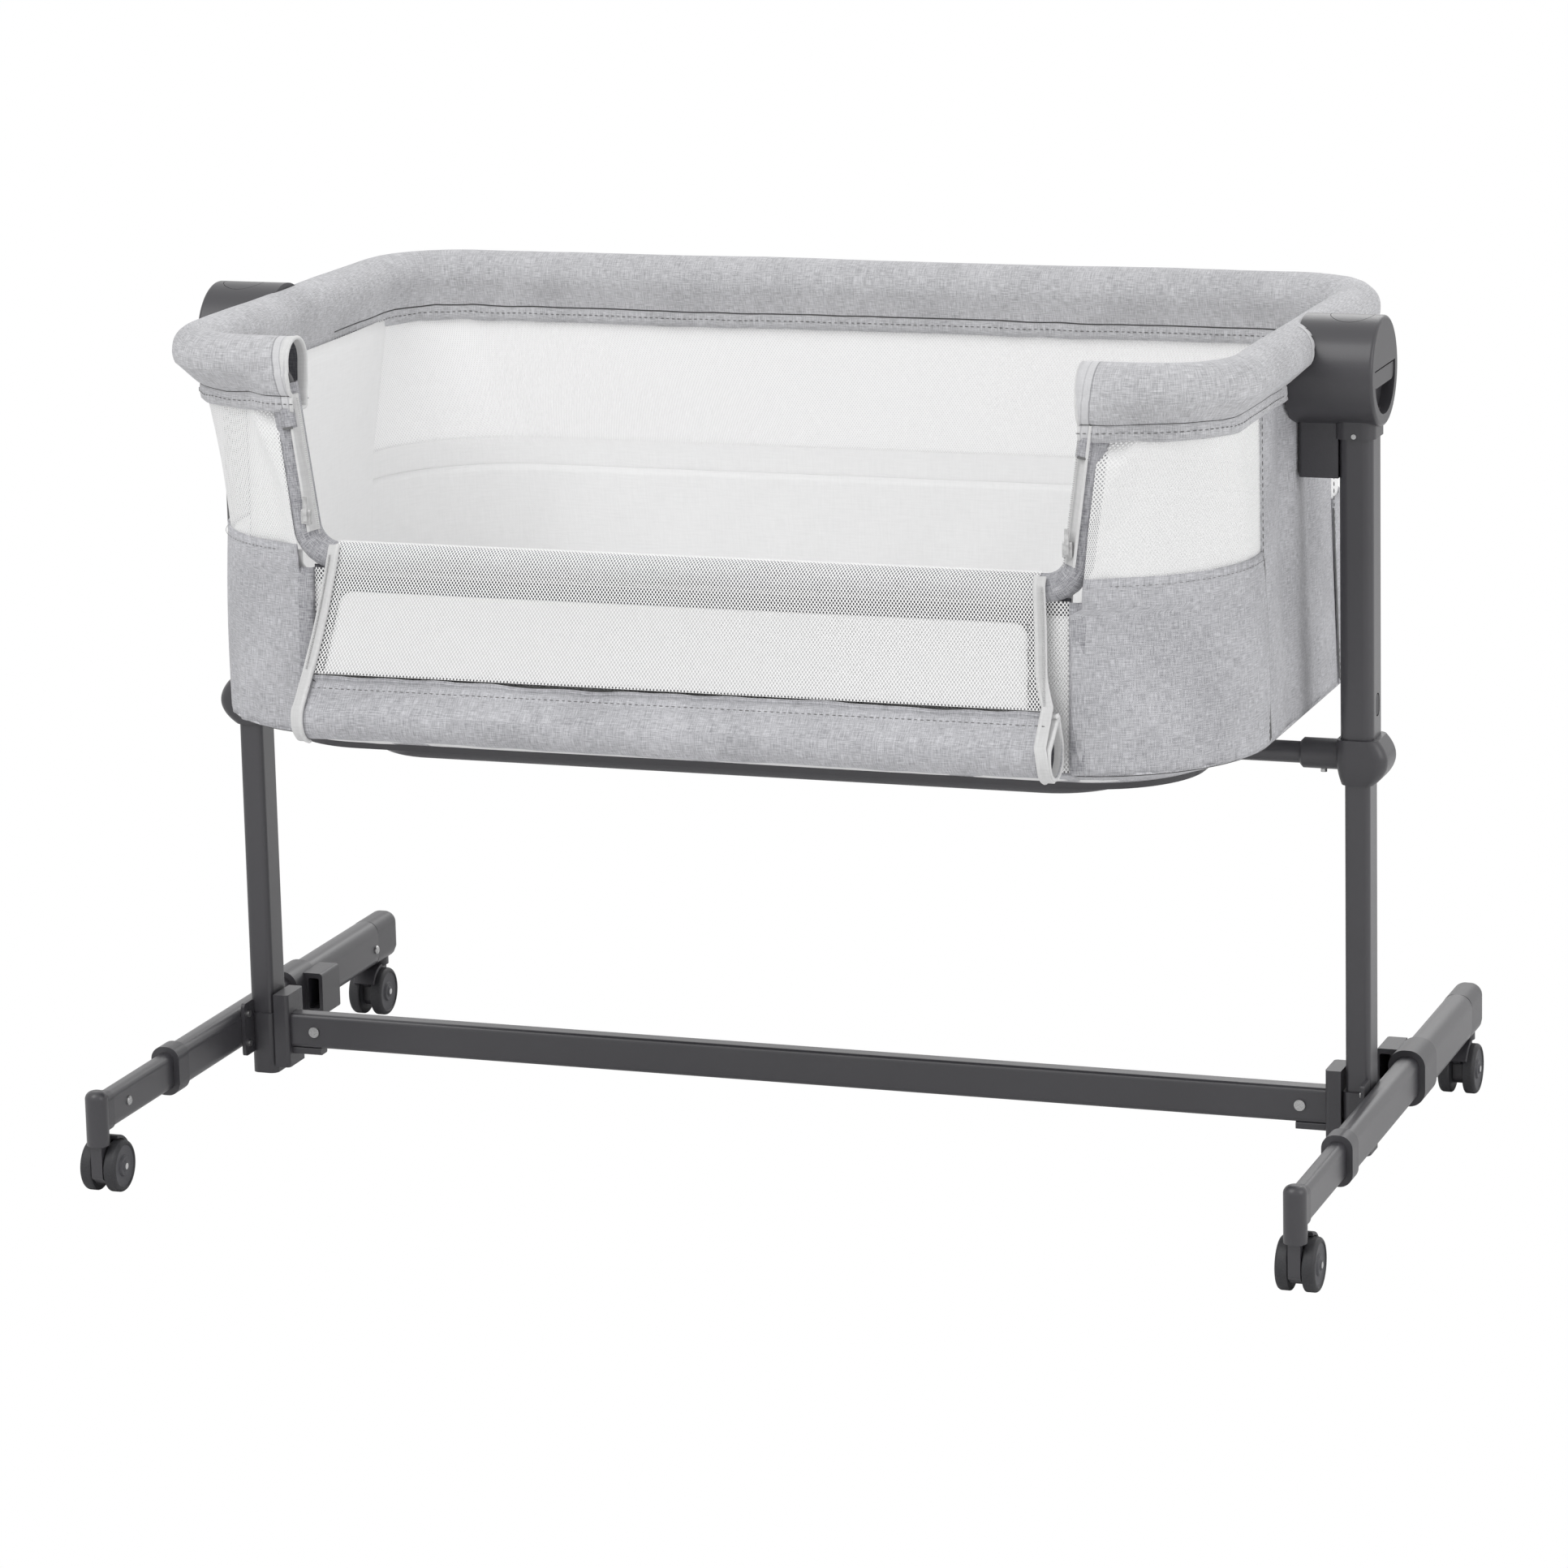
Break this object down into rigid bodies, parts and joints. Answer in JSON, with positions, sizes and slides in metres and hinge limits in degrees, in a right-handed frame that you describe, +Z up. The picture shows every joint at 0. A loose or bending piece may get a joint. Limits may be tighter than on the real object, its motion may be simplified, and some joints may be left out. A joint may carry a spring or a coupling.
{
  "type": "bedside sleeper crib",
  "caption": "Bedside sleeper crib with a cloth bassinet whose one side folds down, carried on telescopic posts and extendable feet with braked casters.",
  "frame": {"origin": "middle of the footprint, on the floor", "axes": "+X towards the right hand end, -Y the side that folds down, +Z up"},
  "size_m": [0.9444, 0.561, 0.646],
  "materials": {
    "frame": "charcoal powder coat",
    "moulding": "fine textured charcoal plastic",
    "wheel": "near black moulded wheel",
    "steel": "plain steel screw heads",
    "zip_metal": "grey enamelled zip slider",
    "cloth": "light grey melange cloth with white net windows",
    "mattress_cover": "white quilted cover over foam",
    "board": "stiff grey board"
  },
  "bodies": {
    "stand": {"crossbar": "frame", "crossbar_blocks": "moulding", "post_shoes": "moulding", "lower_post_left": "frame", "lower_post_right": "frame", "foot_tube_left": "frame", "foot_tube_right": "frame", "foot_collars": "moulding", "stand_screws": "steel"},
    "upper_frame": {"upper_post_left": "frame", "upper_post_right": "frame", "height_collar_left": "moulding", "height_collar_right": "moulding", "base_ring": "frame", "hub_housing_left": "moulding", "hub_housing_right": "moulding", "upper_screws": "steel", "rim_tube": "frame", "rim_sleeve": "cloth", "back_wall": "cloth", "end_wall_left": "cloth", "end_wall_right": "cloth", "front_panel_left": "cloth", "front_panel_right": "cloth", "front_lower_wall": "cloth", "floor_board": "board", "mattress": "mattress_cover"},
    "drop_side": {"drop_sleeve": "cloth", "drop_panel": "cloth"},
    "front_leg_left": {"front_leg_tube_left": "frame", "front_leg_cap_left": "moulding"},
    "rear_leg_left": {"rear_leg_tube_left": "frame", "rear_leg_collar_left": "moulding", "rear_leg_cap_left": "moulding"},
    "front_leg_right": {"front_leg_tube_right": "frame", "front_leg_cap_right": "moulding"},
    "rear_leg_right": {"rear_leg_tube_right": "frame", "rear_leg_collar_right": "moulding", "rear_leg_cap_right": "moulding"},
    "front_left_caster": {"front_left_caster_fork": "moulding"},
    "front_left_wheels": {"front_left_caster_wheels": "wheel"},
    "front_left_brake": {"front_left_caster_brake": "moulding"},
    "front_right_caster": {"front_right_caster_fork": "moulding"},
    "front_right_wheels": {"front_right_caster_wheels": "wheel"},
    "front_right_brake": {"front_right_caster_brake": "moulding"},
    "rear_left_caster": {"rear_left_caster_fork": "moulding"},
    "rear_left_wheels": {"rear_left_caster_wheels": "wheel"},
    "rear_left_brake": {"rear_left_caster_brake": "moulding"},
    "rear_right_caster": {"rear_right_caster_fork": "moulding"},
    "rear_right_wheels": {"rear_right_caster_wheels": "wheel"},
    "rear_right_brake": {"rear_right_caster_brake": "moulding"},
    "catch_left": {"catch_button_left": "moulding"},
    "hub_push_left": {"hub_button_left": "moulding"},
    "hub_grip_left": {"hub_lever_left": "moulding"},
    "zip_left": {"zip_slider_left": "zip_metal"},
    "catch_right": {"catch_button_right": "moulding"},
    "hub_push_right": {"hub_button_right": "moulding"},
    "hub_grip_right": {"hub_lever_right": "moulding"},
    "zip_right": {"zip_slider_right": "zip_metal"}
  },
  "joints": [
    {"name": "height", "type": "slide", "parent": "stand", "child": "upper_frame", "axis": [0, 0, 1], "range_m": [0, 0.168]},
    {"name": "front_leg_slide_left", "type": "slide", "parent": "stand", "child": "front_leg_left", "axis": [0, 1, 0], "range_m": [0, 0.1]},
    {"name": "rear_leg_slide_left", "type": "slide", "parent": "stand", "child": "rear_leg_left", "axis": [0, -1, 0], "range_m": [0, 0.045]},
    {"name": "front_leg_slide_right", "type": "slide", "parent": "stand", "child": "front_leg_right", "axis": [0, 1, 0], "range_m": [0, 0.1]},
    {"name": "rear_leg_slide_right", "type": "slide", "parent": "stand", "child": "rear_leg_right", "axis": [0, -1, 0], "range_m": [0, 0.045]},
    {"name": "front_left_swivel", "type": "hinge", "parent": "front_leg_left", "child": "front_left_caster", "pos_m": [-0.4565, -0.272, 0.045], "axis": [0, 0, 1], "continuous": true},
    {"name": "front_left_roll", "type": "hinge", "parent": "front_left_caster", "child": "front_left_wheels", "pos_m": [-0.4565, -0.258, 0.0195], "axis": [1, 0, 0], "continuous": true},
    {"name": "front_left_pedal", "type": "hinge", "parent": "front_left_caster", "child": "front_left_brake", "pos_m": [-0.4565, -0.258, 0.0195], "axis": [-1, 0, 0], "range_deg": [0, 10]},
    {"name": "front_right_swivel", "type": "hinge", "parent": "front_leg_right", "child": "front_right_caster", "pos_m": [0.4565, -0.272, 0.045], "axis": [0, 0, 1], "continuous": true},
    {"name": "front_right_roll", "type": "hinge", "parent": "front_right_caster", "child": "front_right_wheels", "pos_m": [0.4565, -0.258, 0.0195], "axis": [1, 0, 0], "continuous": true},
    {"name": "front_right_pedal", "type": "hinge", "parent": "front_right_caster", "child": "front_right_brake", "pos_m": [0.4565, -0.258, 0.0195], "axis": [-1, 0, 0], "range_deg": [0, 10]},
    {"name": "rear_left_swivel", "type": "hinge", "parent": "rear_leg_left", "child": "rear_left_caster", "pos_m": [-0.4565, 0.262, 0.045], "axis": [0, 0, 1], "continuous": true},
    {"name": "rear_left_roll", "type": "hinge", "parent": "rear_left_caster", "child": "rear_left_wheels", "pos_m": [-0.4565, 0.248, 0.0195], "axis": [1, 0, 0], "continuous": true},
    {"name": "rear_left_pedal", "type": "hinge", "parent": "rear_left_caster", "child": "rear_left_brake", "pos_m": [-0.4565, 0.248, 0.0195], "axis": [1, 0, 0], "range_deg": [0, 10]},
    {"name": "rear_right_swivel", "type": "hinge", "parent": "rear_leg_right", "child": "rear_right_caster", "pos_m": [0.4565, 0.262, 0.045], "axis": [0, 0, 1], "continuous": true},
    {"name": "rear_right_roll", "type": "hinge", "parent": "rear_right_caster", "child": "rear_right_wheels", "pos_m": [0.4565, 0.248, 0.0195], "axis": [1, 0, 0], "continuous": true},
    {"name": "rear_right_pedal", "type": "hinge", "parent": "rear_right_caster", "child": "rear_right_brake", "pos_m": [0.4565, 0.248, 0.0195], "axis": [1, 0, 0], "range_deg": [0, 10]},
    {"name": "catch_press_left", "type": "slide", "parent": "upper_frame", "child": "catch_left", "axis": [1, 0, 0], "range_m": [0, 0.003], "stiffness_N_per_m": 400},
    {"name": "hub_press_left", "type": "slide", "parent": "upper_frame", "child": "hub_push_left", "axis": [0, 0, -1], "range_m": [0, 0.003], "stiffness_N_per_m": 500},
    {"name": "hub_squeeze_left", "type": "hinge", "parent": "upper_frame", "child": "hub_grip_left", "pos_m": [-0.4535, 0, 0.608], "axis": [0, 1, 0], "range_deg": [0, 25], "stiffness_Nm_per_rad": 0.1},
    {"name": "zip_slide_left", "type": "slide", "parent": "upper_frame", "child": "zip_left", "axis": [-0.1292, 0, 0.9916], "range_m": [0, 0.075]},
    {"name": "catch_press_right", "type": "slide", "parent": "upper_frame", "child": "catch_right", "axis": [-1, 0, 0], "range_m": [0, 0.003], "stiffness_N_per_m": 400},
    {"name": "hub_press_right", "type": "slide", "parent": "upper_frame", "child": "hub_push_right", "axis": [0, 0, -1], "range_m": [0, 0.003], "stiffness_N_per_m": 500},
    {"name": "hub_squeeze_right", "type": "hinge", "parent": "upper_frame", "child": "hub_grip_right", "pos_m": [0.4535, 0, 0.608], "axis": [0, -1, 0], "range_deg": [0, 25], "stiffness_Nm_per_rad": 0.1},
    {"name": "zip_slide_right", "type": "slide", "parent": "upper_frame", "child": "zip_right", "axis": [0.1292, 0, 0.9916], "range_m": [0, 0.075]},
    {"name": "drop_side_fold", "type": "hinge", "parent": "upper_frame", "child": "drop_side", "pos_m": [0, -0.232, 0.4965], "axis": [-1, 0, 0], "range_deg": [0, 180]}
  ]
}
